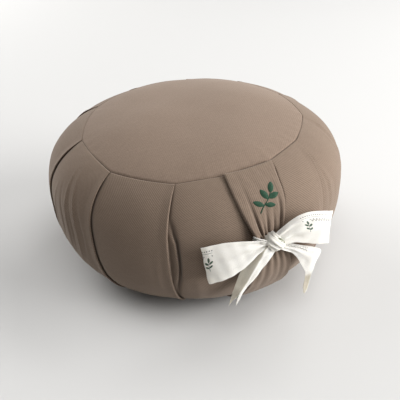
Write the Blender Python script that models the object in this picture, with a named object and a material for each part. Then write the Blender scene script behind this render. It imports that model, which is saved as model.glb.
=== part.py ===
"""Zafu: a round meditation cushion with a pleated side band.

The cushion stands on its bottom panel with +Z up and its origin at the
middle of that panel, on the floor.  The carry strap and its ribbon bow are at
the front, on -Y.  Azimuths run from the front (-Y) towards +X.  Metres
throughout; tables that say so are in millimetres or degrees.
"""
import math

import bmesh
import bpy
import numpy as np

# ---- driving sizes -------------------------------------------------------
GIRTH_RADIUS = 0.180
GIRTH_HEIGHT = 0.111
CROWN_HEIGHT = 0.195
CROWN_POWER = 2.45       # the upper half is a superellipse of this power
FOOT_POWER = 2.5         # the lower half too, cut off flat by the floor
FOOT_DEPTH = 0.128       # depth the lower half would have without the floor
BOTTOM_SEAM_HEIGHT = 0.009

PANEL_THICKNESS = 0.002
STRAP_THICKNESS = 0.002
RIBBON_THICKNESS = 0.001
SEWN_GAP = 0.0006        # between a panel and what it lies on, upright
SEAM_GAP = 0.0006        # between a panel's edge and the band, in plan

CHANNEL_DEPTH = 0.0035   # how far a pleat line is drawn in
LIP_RISE = 0.0016        # how far the overlapping side of a pleat stands out

BAND_ROWS = 15
STRAP_ROWS = 24
STRAP_COLUMNS = 16

MM = 0.001

# One row per knife pleat: its azimuth in degrees at the top seam, at the
# girth and at the bottom seam, the top seam's radius there in mm, and how far
# the panel after it puffs out in mm.
PLEATS = [
    # top,  girth, foot, radius, puff
    (-142, -140, -142, 134.0, 2.4),
    (-102, -98, -101, 133.6, 2.8),
    (-66.6, -65, -62, 136.0, 2.6),
    (-35, -35.5, -34, 137.7, 2.2),
    (-13, -12, -13, 132.8, 0.4),
    (13, 12, 13, 131.4, 2.2),
    (36, 29, 33, 132.0, 2.6),
    (65, 61, 63, 135.0, 2.8),
    (95, 93, 96, 134.0, 2.6),
    (125, 126, 124, 134.5, 2.6),
    (156, 154, 156, 134.0, 2.6),
    (187, 189, 187, 134.0, 2.4),
]

# Columns of one panel between two pleats: how far across it stands, and how
# much of the channel's depth and of the lip's rise it takes.
PANEL_COLUMNS = [
    # across, channel, lip
    (0.000, 1.0, 0.0),
    (0.055, 0.3, 0.0),
    (0.200, 0.0, 0.0),
    (0.400, 0.0, 0.0),
    (0.600, 0.0, 0.0),
    (0.800, 0.0, 0.3),
    (0.960, 0.0, 1.0),
]

# The strap from the top seam to the bottom seam, in mm: height, middle along
# the girth, half its width, clear space under it, depth of its gathers.
STRAP_SECTIONS = [
    # height, middle, half, under, gather
    (175.0, 0.0, 31.0, 1.2, 0.2),
    (160.0, -3.6, 29.0, 2.0, 0.6),
    (144.0, -4.0, 26.0, 2.0, 1.2),
    (130.0, -2.5, 20.5, 3.2, 1.8),
    (122.0, -3.0, 14.5, 4.0, 2.0),
    (112.0, -3.0, 14.5, 4.0, 2.0),
    (103.0, -2.0, 18.0, 3.2, 1.8),
    (84.0, -1.0, 23.0, 2.0, 1.4),
    (50.0, 0.0, 27.5, 2.2, 0.8),
    (10.5, 0.0, 30.0, 1.8, 0.2),
]
GATHER_PITCH = 0.58      # gathers, in half-widths of the strap
GATHER_PHASE = -0.62

# Where the ribbon draws the strap into the side: depth and reach in metres.
WAIST_ALONG = -0.003
WAIST_HEIGHT = 0.117
WAIST_DENT = 0.004
WAIST_REACH = 0.026

# The ribbon in mm.  A point is given along the girth, out from the girth's
# radius, and by height; each row is a section with its two edges, a and b,
# and how far the ribbon's middle stands out of the line between them.
LEFT_LOOP = [
    # along_a, out_a, height_a, along_b, out_b, height_b, ridge
    (-7, 9.5, 124, -8, 10.5, 113, 0.0),
    (-22, 10, 125, -22, 12, 109, 0.5),
    (-50, 11, 130.5, -46, 17, 95, 1.5),
    (-71, 11, 129, -65, 17.5, 90, 1.0),
    (-79, 7.5, 128, -72, 13.5, 88, 0.0),
    (-73, 3.5, 128, -66, 8.0, 90, 0.0),
    (-48, 4.0, 127, -45, 7.0, 98, 0.0),
    (-24, 8.0, 122, -24, 8.0, 112, 0.0),
    (-7, 9.5, 121, -7, 9.5, 115, 0.0),
]
RIGHT_LOOP = [
    (-1, 10.5, 127, 1, 11.5, 116, 0.0),
    (8, 12.5, 138, 17, 14, 115, 0.5),
    (23, 17, 149, 33, 18.5, 108, 1.5),
    (44, 21, 143, 46, 21.5, 101, 1.5),
    (61, 20.5, 131.5, 57, 21, 93.5, 1.0),
    (66, 15.5, 128.5, 61, 16, 90.5, 0.0),
    (59, 9.5, 131, 55, 10, 93.5, 0.0),
    (38, 6.0, 137, 38, 6.5, 101, 0.0),
    (20, 8.0, 133, 21, 8.0, 113, 0.0),
    (0, 9.5, 123, 1, 9.5, 117, 0.0),
]
LEFT_TAIL = [
    (-10, 9.5, 114, -3, 10, 110, 0.5),
    (-21, 9.5, 104, -6, 9.5, 98, 2.5),
    (-37, 9.0, 87, -19, 9.0, 83, 4.0),
    (-45, 8.0, 72, -30, 8.0, 70, 4.0),
    (-49, 7.5, 58, -39, 7.5, 57, 3.0),
    (-52, 7.0, 45, -44, 7.0, 42, 2.0),
]
RIGHT_TAIL = [
    (4, 10, 117, -1, 10, 108, 0.0),
    (19, 11, 107, 11, 10, 99, 0.5),
    (38, 13, 93, 23, 11, 84, 1.5),
    (59, 14, 72, 42, 13, 60, 2.0),
    (58, 12, 58, 48, 11, 50, 1.5),
    (53, 9.5, 42, 46, 9.0, 40, 0.5),
    (49, 7.5, 21, 42, 7.0, 19, 0.0),
]
WRAP = [
    (4.0, 9.5, 122, 4.0, 9.5, 112.5, 0.0),
    (10.0, 8.6, 123, 10.0, 8.6, 112, 0.0),
    (14.6, 5.0, 123, 14.6, 5.0, 112, 0.0),
    (14.4, 0.4, 123, 14.4, 0.8, 112, 0.0),
    (9.0, -1.8, 123, 9.0, -1.3, 112, 0.0),
    (-3.0, -2.4, 123, -3.0, -1.8, 112, 0.0),
    (-15.0, -1.8, 123, -15.0, -1.3, 112, 0.0),
    (-20.4, 0.4, 123, -20.4, 0.8, 112, 0.0),
    (-20.6, 5.0, 123, -20.6, 5.0, 112, 0.0),
    (-16.0, 8.6, 123, -16.0, 8.6, 112, 0.0),
    (-10.0, 9.5, 122, -10.0, 9.5, 112.5, 0.0),
]
KNOT_CENTRE = (-3.0, 11.0, 118.5)    # mm, as the ribbon's points
KNOT_HALF = (12.5, 4.2, 12.0)
KNOT_TILT = math.radians(-35)        # its wraps fall to the right

RIBBON_STEPS = 2         # sections worked out between two rows of a table
RIBBON_COLUMNS = 4

# name: colour, roughness
MATERIALS = {
    "band_cloth": ((0.235, 0.185, 0.150), 0.92),
    "panel_cloth": ((0.250, 0.200, 0.163), 0.92),
    "strap_cloth": ((0.240, 0.190, 0.155), 0.92),
    "ribbon_cloth": ((0.850, 0.825, 0.765), 0.80),
}


# ---- shapes shared by several pieces -------------------------------------
def side_height(radius, upper):
    """Height of the cushion's outline at a radius, on one of its halves."""
    share = np.clip(radius / GIRTH_RADIUS, 0.0, 1.0)
    if upper:
        rise = (1.0 - share ** CROWN_POWER) ** (1.0 / CROWN_POWER)
        return GIRTH_HEIGHT + (CROWN_HEIGHT - GIRTH_HEIGHT) * rise
    drop = (1.0 - share ** FOOT_POWER) ** (1.0 / FOOT_POWER)
    return np.maximum(GIRTH_HEIGHT - FOOT_DEPTH * drop, 0.0)


def side_radius(height):
    """Radius of the cushion's outline at a height."""
    height = np.asarray(height, float)
    up = np.clip((height - GIRTH_HEIGHT) / (CROWN_HEIGHT - GIRTH_HEIGHT), 0, 1)
    down = np.clip((GIRTH_HEIGHT - height) / FOOT_DEPTH, 0, 1)
    upper = (1.0 - up ** CROWN_POWER) ** (1.0 / CROWN_POWER)
    lower = (1.0 - down ** FOOT_POWER) ** (1.0 / FOOT_POWER)
    return GIRTH_RADIUS * np.minimum(upper, lower)


def side_normal(height):
    """Outward direction of the outline at a height, as (radial, up)."""
    step = 0.0005
    low = np.maximum(height - step, 0.0)
    high = np.minimum(height + step, CROWN_HEIGHT)
    radial = high - low
    upward = side_radius(low) - side_radius(high)
    length = np.hypot(radial, upward)
    return radial / length, upward / length


def pleat_tables():
    """Pleats in rising azimuth, the first repeated a full turn later."""
    rows = PLEATS + [(PLEATS[0][0] + 360, PLEATS[0][1] + 360,
                      PLEATS[0][2] + 360, PLEATS[0][3], PLEATS[0][4])]
    return np.array(rows, float)


def panel_stations():
    """Every column round the band: panel number, and its place across it."""
    stations = []
    for panel in range(len(PLEATS)):
        for across, channel, lip in PANEL_COLUMNS:
            stations.append((panel, across, channel, lip))
    return np.array(stations)


def station_azimuth(stations, rise):
    """Azimuth of each column; rise runs from 0 at the foot to 1 at the top."""
    rows = pleat_tables()
    # a parabola through the three azimuths that a pleat is given
    foot = (2 * rise - 1) * (rise - 1)
    girth = 4 * rise * (1 - rise)
    top = rise * (2 * rise - 1)
    line = rows[:, 2] * foot + rows[:, 1] * girth + rows[:, 0] * top
    panel = stations[:, 0].astype(int)
    span = line[panel + 1] - line[panel]
    return np.radians(line[panel] + span * stations[:, 1])


def top_seam_radius(stations):
    """The top seam: from pleat to pleat, half way between arc and chord."""
    rows = pleat_tables()
    panel = stations[:, 0].astype(int)
    across = stations[:, 1]
    arc = rows[panel, 3] * (1 - across) + rows[panel + 1, 3] * across
    half = np.radians(rows[panel + 1, 0] - rows[panel, 0]) / 2
    sag = 0.5 * (1 - np.cos(half)) * (1 - (2 * across - 1) ** 2)
    return arc * (1 - sag) * MM


def to_world(azimuth, radius, height):
    """Points from azimuth, radius and height."""
    return np.stack(np.broadcast_arrays(radius * np.sin(azimuth),
                                        -radius * np.cos(azimuth),
                                        height), axis=-1)


def waist_dent(azimuth, height):
    """How far the tied ribbon draws the band in round the strap's waist."""
    turn = (azimuth + math.pi) % (2 * math.pi) - math.pi
    along = turn * GIRTH_RADIUS - WAIST_ALONG
    away = (along ** 2 + (height - WAIST_HEIGHT) ** 2) / WAIST_REACH ** 2
    return WAIST_DENT * np.exp(-away)


def band_point(stations, rise):
    """One ring of the band, at a share of the way from foot to top seam."""
    foot_radius = side_radius(BOTTOM_SEAM_HEIGHT)
    top_radius = top_seam_radius(stations)
    # the way up the side, by the angle of the outline's superellipse
    foot_angle = -math.acos((foot_radius / GIRTH_RADIUS) ** (FOOT_POWER / 2))
    top_angle = np.arccos((top_radius / GIRTH_RADIUS) ** (CROWN_POWER / 2))
    angle = foot_angle + (top_angle - foot_angle) * rise
    up = np.abs(np.sin(angle))
    height = np.where(
        angle > 0,
        GIRTH_HEIGHT + (CROWN_HEIGHT - GIRTH_HEIGHT) * up ** (2 / CROWN_POWER),
        GIRTH_HEIGHT - FOOT_DEPTH * up ** (2 / FOOT_POWER))
    azimuth = station_azimuth(stations, rise)
    puff = pleat_tables()[stations[:, 0].astype(int), 4] * MM
    window = math.sin(math.pi * rise) ** 0.6 if 0 < rise < 1 else 0.0
    move = puff * np.sin(math.pi * stations[:, 1]) ** 0.7
    move += LIP_RISE * stations[:, 3] - CHANNEL_DEPTH * stations[:, 2]
    move = move * window - waist_dent(azimuth, height)
    radial, upward = side_normal(height)
    return to_world(azimuth, side_radius(height) + move * radial,
                    height + move * upward)


def smooth_rows(table, places):
    """A table's columns at in-between places, on Catmull-Rom curves."""
    table = np.asarray(table, float)
    padded = np.vstack([2 * table[0] - table[1], table,
                        2 * table[-1] - table[-2]])
    index = np.clip(places.astype(int), 0, len(table) - 2)
    share = (places - index)[:, None]
    before, start, end, after = (padded[index + k] for k in range(4))
    return 0.5 * (2 * start + (end - before) * share
                  + (2 * before - 5 * start + 4 * end - after) * share ** 2
                  + (3 * start - before - 3 * end + after) * share ** 3)


def grid_faces(rows, columns, wrap):
    """Quads over a grid of points, rows by columns, wrapped round or not."""
    faces = []
    last = columns if wrap else columns - 1
    for row in range(rows - 1):
        for column in range(last):
            beside = (column + 1) % columns
            faces.append((row * columns + column, row * columns + beside,
                          (row + 1) * columns + beside,
                          (row + 1) * columns + column))
    return faces


def add_piece(name, material, points, faces, sharp=40):
    """An object of that mesh, its faces turned outwards, shaded smooth."""
    mesh = bpy.data.meshes.new(name)
    mesh.from_pydata([tuple(point) for point in points], [], faces)
    shape = bmesh.new()
    shape.from_mesh(mesh)
    bmesh.ops.recalc_face_normals(shape, faces=shape.faces)
    shape.to_mesh(mesh)
    shape.free()
    mesh.shade_smooth()
    mesh.set_sharp_from_angle(angle=math.radians(sharp))
    piece = bpy.data.objects.new(name, mesh)
    bpy.context.collection.objects.link(piece)
    mesh.materials.append(cloth(material))
    return piece


def cloth(name):
    """The named cloth's material."""
    material = bpy.data.materials.get(name)
    if material is None:
        material = bpy.data.materials.new(name)
        material.use_nodes = True
        colour, roughness = MATERIALS[name]
        shader = material.node_tree.nodes["Principled BSDF"]
        shader.inputs["Base Color"].default_value = (*colour, 1.0)
        shader.inputs["Roughness"].default_value = roughness
        shader.inputs["Metallic"].default_value = 0.0
    return material


def closed_sheet(name, material, front, back, sharp=40):
    """A sheet from two grids of points, joined round their four edges."""
    rows, columns = front.shape[:2]
    points = np.concatenate([front.reshape(-1, 3), back.reshape(-1, 3)])
    count = rows * columns
    top = grid_faces(rows, columns, wrap=False)
    faces = top + [tuple(count + k for k in face[::-1]) for face in top]
    edge = [column for column in range(columns)]
    edge += [row * columns + columns - 1 for row in range(1, rows)]
    edge += [count - 1 - column for column in range(1, columns)]
    edge += [row * columns for row in range(rows - 2, 0, -1)]
    for here, there in zip(edge, edge[1:] + edge[:1]):
        faces.append((there, here, here + count, there + count))
    return add_piece(name, material, points, faces, sharp)


# ---- the cushion's own pieces --------------------------------------------
def panel_rings(stations, upper, inset, trim):
    """Rings of a round panel from its seam inwards.

    They lie an inset inside the cushion's outline, measured upright, and the
    first one stands a trim inside the seam.
    """
    if upper:
        seam = top_seam_radius(stations)
        shares = (1.0, 0.9, 0.68, 0.36)
    else:
        seam = np.full(len(stations), side_radius(BOTTOM_SEAM_HEIGHT))
        shares = (1.0, side_radius(0.0) / seam[0])
    azimuth = station_azimuth(stations, 1.0 if upper else 0.0)
    side = -1 if upper else 1
    rings = []
    for share in shares:
        radius = seam - trim if share == 1.0 else seam * share
        rings.append(to_world(azimuth, radius,
                              side_height(radius, upper) + side * inset))
    return rings


def round_panel(name, upper):
    """A round panel: a sheet whose outer face is the cushion's own outline."""
    stations = panel_stations()
    count = len(stations)
    outer = panel_rings(stations, upper, 0.0, SEAM_GAP)
    inner = panel_rings(stations, upper, PANEL_THICKNESS, SEAM_GAP)
    rings = outer[::-1] + inner
    points = np.concatenate(rings)
    faces = grid_faces(len(rings), count, wrap=True)
    if upper:
        for ring, height in ((0, CROWN_HEIGHT),
                             (len(rings) - 1, CROWN_HEIGHT - PANEL_THICKNESS)):
            points = np.vstack([points, (0.0, 0.0, height)])
            middle = len(points) - 1
            for column in range(count):
                beside = (column + 1) % count
                faces.append((ring * count + column, middle,
                              ring * count + beside))
    else:
        faces.append(tuple(range(count)))
        faces.append(tuple((len(rings) - 1) * count + k
                           for k in range(count)))
    return add_piece(name, "panel_cloth", points, faces)


def cushion_body():
    """The band round its filling, with seats for the two panels."""
    stations = panel_stations()
    count = len(stations)
    seat = PANEL_THICKNESS + SEWN_GAP
    rings = panel_rings(stations, False, seat, 0.0)[::-1]
    for row in range(BAND_ROWS + 1):
        rings.append(band_point(stations, row / BAND_ROWS))
    rings += panel_rings(stations, True, seat, 0.0)
    points = np.concatenate(rings)
    faces = grid_faces(len(rings), count, wrap=True)
    faces.append(tuple(range(count)))
    points = np.vstack([points, (0.0, 0.0, CROWN_HEIGHT - seat)])
    last = (len(rings) - 1) * count
    for column in range(count):
        beside = (column + 1) % count
        faces.append((last + column, len(points) - 1, last + beside))
    return add_piece("cushion_body", "band_cloth", points, faces)


def carry_strap():
    """The strap: a sheet that follows the side and gathers at its waist."""
    places = np.linspace(0, len(STRAP_SECTIONS) - 1, STRAP_ROWS)
    rows = smooth_rows(STRAP_SECTIONS, places) * MM
    height, middle, half, under, gather = (rows[:, k:k + 1] for k in range(5))
    across = np.linspace(-1, 1, STRAP_COLUMNS)[None, :]
    radius = side_radius(height)
    azimuth = (middle + half * across) / (radius + under)
    turn = 2 * math.pi / GATHER_PITCH
    wave = 1 - np.cos(turn * (across - GATHER_PHASE))
    radial, upward = side_normal(height)
    faces = []
    for rise in (STRAP_THICKNESS, 0.0):
        out = under + gather * wave + rise - waist_dent(azimuth, height)
        faces.append(to_world(azimuth, radius + out * radial,
                              height + out * upward + 0 * across))
    return closed_sheet("carry_strap", "strap_cloth", *faces)


# ---- the ribbon ----------------------------------------------------------
def ribbon_place(points):
    """World points from rows of along, out and height, in mm."""
    along, out, height = (points[..., k] * MM for k in range(3))
    return to_world(along / GIRTH_RADIUS, GIRTH_RADIUS + out, height)


def ribbon_strip(name, table, closed=False):
    """A strip of ribbon through a table's sections."""
    table = np.asarray(table, float)
    if closed:
        table = np.vstack([table[-1], table, table[0], table[1]])
        places = np.linspace(1, len(table) - 2,
                             (len(table) - 3) * RIBBON_STEPS + 1)[:-1]
    else:
        places = np.linspace(0, len(table) - 1,
                             (len(table) - 1) * RIBBON_STEPS + 1)
    rows = smooth_rows(table, places)
    across = np.linspace(0, 1, RIBBON_COLUMNS + 1)[None, :, None]
    edge_a = ribbon_place(rows[:, None, 0:3])
    edge_b = ribbon_place(rows[:, None, 3:6])
    middle = edge_a * (1 - across) + edge_b * across
    along = np.gradient(middle, axis=0)
    if closed:
        along = np.roll(middle, -1, axis=0) - np.roll(middle, 1, axis=0)
    normal = np.cross(along, edge_b - edge_a)
    normal /= np.linalg.norm(normal, axis=-1, keepdims=True)
    ridge = rows[:, None, 6:7] * MM * (1 - np.abs(2 * across - 1))
    middle = middle + normal * ridge
    front = middle + normal * RIBBON_THICKNESS / 2
    back = middle - normal * RIBBON_THICKNESS / 2
    if not closed:
        return closed_sheet(name, "ribbon_cloth", front, back)
    ring = np.concatenate([front, back[:, ::-1]], axis=1)
    columns = ring.shape[1]
    ring = np.concatenate([ring, ring[:1]], axis=0)
    faces = grid_faces(len(ring), columns, wrap=True)
    count = (len(ring) - 1) * columns
    faces = [tuple(corner % count for corner in face) for face in faces]
    return add_piece(name, "ribbon_cloth", ring[:-1].reshape(-1, 3), faces)


def ribbon_knot():
    """The knot: a flattened lump, tilted as its wraps run."""
    shape = bmesh.new()
    bmesh.ops.create_icosphere(shape, subdivisions=2, radius=1.0)
    ball = np.array([vertex.co[:] for vertex in shape.verts])
    faces = [tuple(vertex.index for vertex in face.verts)
             for face in shape.faces]
    shape.free()
    # squarer than a ball: each side flattens by a quarter
    ball = np.sign(ball) * np.abs(ball) ** 0.75
    along, out, up = (ball[:, k] * KNOT_HALF[k] for k in range(3))
    turned = np.stack([
        KNOT_CENTRE[0] + along * math.cos(KNOT_TILT) - up * math.sin(KNOT_TILT),
        KNOT_CENTRE[1] + out,
        KNOT_CENTRE[2] + along * math.sin(KNOT_TILT) + up * math.cos(KNOT_TILT),
    ], axis=-1)
    return add_piece("ribbon_bow", "ribbon_cloth", ribbon_place(turned), faces)


def ribbon_bow():
    """Wrap, loops and free ends, joined to the knot as one ribbon."""
    bow = ribbon_knot()
    parts = [
        ribbon_strip("wrap_guide", WRAP),
        ribbon_strip("left_loop_guide", LEFT_LOOP),
        ribbon_strip("right_loop_guide", RIGHT_LOOP),
        ribbon_strip("left_tail_guide", LEFT_TAIL),
        ribbon_strip("right_tail_guide", RIGHT_TAIL),
    ]
    for part in parts:
        part.hide_render = True
        part.display_type = "WIRE"
        join = bow.modifiers.new(part.name, "BOOLEAN")
        join.operation = "UNION"
        join.solver = "EXACT"
        join.object = part
    return bow


def main():
    for item in list(bpy.data.objects):
        bpy.data.objects.remove(item, do_unlink=True)
    cushion_body()
    round_panel("top_panel", upper=True)
    round_panel("bottom_panel", upper=False)
    carry_strap()
    ribbon_bow()


main()
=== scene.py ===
"""Looks of the zafu meditation cushion.

The pleated side band, the two round panels, the gathered carry strap and the
ribbon bow are worked out here as surfaces on grids, in the frame of the
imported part: metres, +Z up, the strap and bow at the front on -Y.  Azimuths
run from the front (-Y) towards +X.  Tables say where they are in millimetres
or degrees.
"""

import math

import bpy
import numpy as np
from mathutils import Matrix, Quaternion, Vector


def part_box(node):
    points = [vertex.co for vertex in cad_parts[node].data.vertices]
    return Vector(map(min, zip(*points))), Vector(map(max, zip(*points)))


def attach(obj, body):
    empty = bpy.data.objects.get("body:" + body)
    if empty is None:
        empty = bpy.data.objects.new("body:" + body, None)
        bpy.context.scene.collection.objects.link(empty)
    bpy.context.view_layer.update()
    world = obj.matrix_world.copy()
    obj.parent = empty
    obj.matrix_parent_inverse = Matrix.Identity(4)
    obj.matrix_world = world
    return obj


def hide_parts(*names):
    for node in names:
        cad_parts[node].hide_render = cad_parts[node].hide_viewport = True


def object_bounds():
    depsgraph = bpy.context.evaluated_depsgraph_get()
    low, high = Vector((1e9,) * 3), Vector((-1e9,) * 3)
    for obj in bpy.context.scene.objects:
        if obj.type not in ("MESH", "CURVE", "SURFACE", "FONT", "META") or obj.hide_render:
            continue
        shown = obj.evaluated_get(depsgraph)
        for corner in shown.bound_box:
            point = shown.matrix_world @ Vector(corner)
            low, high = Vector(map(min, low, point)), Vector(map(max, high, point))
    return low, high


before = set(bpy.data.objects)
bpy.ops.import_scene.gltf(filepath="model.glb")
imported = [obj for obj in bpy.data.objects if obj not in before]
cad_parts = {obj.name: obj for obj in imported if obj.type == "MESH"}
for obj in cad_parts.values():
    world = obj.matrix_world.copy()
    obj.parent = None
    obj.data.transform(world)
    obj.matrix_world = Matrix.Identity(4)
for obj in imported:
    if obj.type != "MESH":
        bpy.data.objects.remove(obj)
CAD_LOW, CAD_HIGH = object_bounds()

MM = 0.001

# ---- the cushion's driving sizes, from the frame where it gives them -------
CROWN_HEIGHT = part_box("top_panel")[1].z
GIRTH_RADIUS = 0.180
GIRTH_HEIGHT = 0.569 * CROWN_HEIGHT
CROWN_POWER = 2.45       # the upper half is a superellipse of this power
FOOT_POWER = 2.5         # the lower half too, cut off flat by the floor
FOOT_DEPTH = 0.656 * CROWN_HEIGHT
BOTTOM_SEAM_HEIGHT = 0.009
SEAM_GAP = 0.0009        # open width of a round seam, in plan
BAND_LENGTH = 0.235      # the band over its side, from seam to seam
TOP_SEAM_RADIUS = 0.134  # its mean; the seam itself goes from pleat to pleat
PANEL_THICKNESS = 0.0016
STRAP_THICKNESS = 0.0020
STRAP_HALF_WIDTH = 0.031
RIBBON_THICKNESS = 0.0007

# ---- camera ---------------------------------------------------------------
CAMERA_AZIMUTH = -26.0
CAMERA_ELEVATION = 34.4
CAMERA_DISTANCE = 0.8145
CAMERA_AIM_HEIGHT = 0.045
CAMERA_ROLL = -3.1
CAMERA_LENS = 55.0
CAMERA_SHIFT = (0.0082, 0.026)


def add_camera():
    """A camera on a sphere round the aim point, rolled a little."""
    azimuth = math.radians(CAMERA_AZIMUTH)
    elevation = math.radians(CAMERA_ELEVATION)
    data = bpy.data.cameras.new("camera")
    data.lens = CAMERA_LENS
    data.shift_x, data.shift_y = CAMERA_SHIFT
    data.clip_start, data.clip_end = 0.01, 50.0
    camera = bpy.data.objects.new("camera", data)
    bpy.context.scene.collection.objects.link(camera)
    away = CAMERA_DISTANCE * math.cos(elevation)
    camera.location = (away * math.sin(azimuth), -away * math.cos(azimuth),
                       CAMERA_AIM_HEIGHT
                       + CAMERA_DISTANCE * math.sin(elevation))
    camera.rotation_mode = "XYZ"
    turn = math.radians(CAMERA_ROLL)
    aim = (math.pi / 2 - elevation, 0.0, azimuth)
    camera.rotation_euler = aim
    bpy.context.view_layer.update()
    roll = camera.matrix_world.to_3x3().col[2].copy()
    camera.rotation_mode = "QUATERNION"
    camera.rotation_quaternion = (Quaternion(roll, turn)
                                  @ camera.matrix_world.to_quaternion())
    bpy.context.scene.camera = camera


add_camera()

# ---- tables ---------------------------------------------------------------
# One row per knife pleat: its azimuth in degrees at the top seam, at the
# girth and at the bottom seam; the top seam's radius there in mm; how far the
# panel after it puffs out in mm; how far that panel's seam edge bows out, as
# a share of a full arc; how strongly the pleat's fold stands, 0 at the two
# beside the strap, whose layers lie in one surface; and how many columns of
# faces the panel after it has.
PLEATS = [
    # top, girth, foot, radius, puff, bow, fold, columns
    (-142, -140, -142, 134.0, 2.4, 0.5, 1.0, 16),
    (-102, -98, -101, 133.6, 2.8, 0.5, 1.0, 46),
    (-66.8, -65, -62, 138.5, 2.4, 0.8, 1.15, 26),
    (-34.8, -36.0, -33.0, 138.2, 2.0, 0.4, 1.0, 24),
    (-13.2, -9, -13.6, 133.0, 0.0, 0.3, 0.0, 20),
    (12, 5, 15, 131.6, 1.7, 0.4, 0.0, 32),
    (36, 26.0, 33, 131.5, 2.4, 0.5, 0.70, 26),
    (65, 57, 60, 135.0, 2.8, 0.5, 1.0, 22),
    (95, 93, 96, 134.0, 2.6, 0.5, 1.0, 18),
    (125, 126, 124, 134.5, 2.6, 0.5, 1.0, 18),
    (156, 154, 156, 134.0, 2.6, 0.5, 0.9, 18),
    (187, 189, 187, 134.0, 2.4, 0.5, 1.0, 16),
]
OPEN_PLEAT = 3           # the pleat that gapes and shows its inner fold
# How far it gapes at each height in mm, from 0 to 1.
GAPE = [
    # height, share
    (30, 0.00),
    (52, 0.04),
    (68, 0.24),
    (84, 0.46),
    (103, 0.84),
    (118, 1.00),
    (131, 0.86),
    (142, 0.45),
    (151, 0.06),
    (160, 0.00),
]

# A knife pleat in section, in mm, from the panel on its left over the lip,
# back under it and out again to the panel on its right: along the band and
# out from it, when shut and when it gapes.
FOLD_SECTION = [
    # shut_along, shut_out, open_along, open_out
    (-10.0, 0.2, -10.0, 0.4),
    (-6.0, 0.9, -6.0, 1.1),
    (-3.0, 1.5, -3.0, 1.9),
    (-1.1, 2.0, -1.2, 2.5),
    (-0.2, 1.9, -0.3, 2.4),
    (0.15, 1.3, 0.3, 1.7),
    (-0.3, 0.7, 0.2, 0.6),
    (-1.8, 0.5, 0.2, -0.9),
    (-4.2, 0.2, 1.2, -2.2),
    (-6.0, -0.2, 3.0, -2.0),
    (-6.9, -0.9, 5.4, -0.9),
    (-6.0, -1.6, 7.6, 0.1),
    (-3.8, -1.8, 8.9, 0.1),
    (-1.8, -1.8, 9.5, -1.0),
    (-0.4, -1.5, 9.4, -3.0),
    (0.5, -0.9, 9.6, -5.2),
    (1.4, -0.4, 10.8, -5.4),
    (3.0, -0.1, 12.2, -2.8),
    (6.0, 0.0, 13.4, -0.3),
    (10.0, 0.0, 17.0, 0.3),
]
FOLD_STEPS = 2           # columns worked out between two rows of that table

BAND_ROWS = 98
# Unevenness of the band: how high in metres, its wavelength and its seed.
LONG_SWELL = (0.00080, 0.110, 3)
SHORT_SWELL = (0.00020, 0.034, 5)
FOOT_GATHERS = (0.00070, 0.024, 9)
SEAM_PUCKERS = (0.00040, 0.013, 15)
# rows this far from each seam, in mm, draw its narrow roll
SEAM_ROWS = (0.25, 0.5, 0.8, 1.2, 1.7, 2.4, 3.4)

# Soft creases in the band: azimuth in degrees at its foot, halfway and head,
# heights between which it shows in mm, half its width in mm, and how far it
# stands out.
CREASES = [
    # foot_az, mid_az, head_az, foot, head, half, rise
    (-84.5, -79.6, -84.0, 54, 168, 1.5, 1.7),
    (-81.0, -76.6, -83.0, 58, 166, 1.4, -1.3),
    (-77.5, -73.4, -82.0, 56, 172, 1.5, 2.0),
    (-74.0, -70.8, -78.5, 62, 164, 1.9, -1.1),
    (-90.5, -83.4, -87.0, 60, 156, 2.0, -1.2),
    (-90.0, -90.2, -89.5, 84, 150, 2.2, 0.9),
    (-39.6, -40.2, -39.0, 48, 128, 2.4, 0.7),
    (-52.0, -51.0, -50.0, 15, 70, 4.0, 0.5),
    (-26.0, -26.5, -27.0, 18, 90, 4.5, 0.6),
    (30.5, 32.0, 31.0, 96, 164, 1.5, 1.1),
    (31.5, 30.4, 33.0, 96, 172, 1.3, -0.8),
    (34.0, 35.6, 33.5, 90, 158, 1.8, -0.7),
    (25.5, 25.6, 31.5, 96, 170, 1.8, -0.6),
    (23.0, 22.0, 22.0, 70, 140, 3.0, 0.5),
    (54.0, 53.0, 58.0, 90, 172, 2.2, 0.9),
    (78.0, 79.0, 80.0, 50, 140, 3.0, 0.7),
    (103.0, 101.5, 101.0, 70, 160, 2.6, 0.9),
    (112.0, 112.0, 113.0, 40, 150, 3.0, 0.8),
    (134.0, 133.5, 132.0, 60, 165, 2.6, 1.0),
    (143.0, 142.0, 142.0, 50, 130, 3.2, 0.8),
    (164.0, 165.5, 166.0, 60, 160, 2.8, 0.9),
    (176.0, 175.5, 174.0, 40, 120, 3.0, 0.7),
    (-162.0, -161.5, -160.0, 50, 150, 2.8, 0.9),
    (-150.0, -148.5, -148.0, 70, 160, 2.6, 0.8),
    (-128.0, -127.0, -127.0, 55, 155, 2.8, 1.0),
    (-116.0, -117.5, -118.0, 60, 140, 3.0, 0.8),
]

# Where the tied ribbon draws the strap into the side.
WAIST_ALONG = -0.003
WAIST_HEIGHT = 0.117
WAIST_DENT = 0.004
WAIST_REACH = 0.026

# The strap from the top seam to the bottom seam, in mm: height, middle along
# the girth, half its width, clear space under it, depth of its gathers.
STRAP_SECTIONS = [
    # height, middle, half, under, gather
    (175.6, -1.5, 29.5, 0.6, 0.4),
    (165.0, -4.6, 28.2, 0.5, 1.0),
    (153.0, -5.7, 26.8, 0.5, 1.9),
    (141.0, -6.8, 23.0, 0.9, 3.3),
    (130.0, -8.0, 18.0, 2.8, 4.8),
    (121.0, -7.4, 14.8, 3.6, 4.4),
    (112.0, -6.4, 14.8, 3.6, 4.4),
    (102.0, -4.0, 18.5, 2.4, 4.4),
    (84.0, -1.5, 23.0, 1.4, 3.8),
    (50.0, 0.0, 27.5, 1.2, 2.0),
    (10.5, 0.0, 30.0, 1.2, 0.4),
]
STRAP_WAIST_PLACE = 5.5  # between the two narrowest rows
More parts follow.
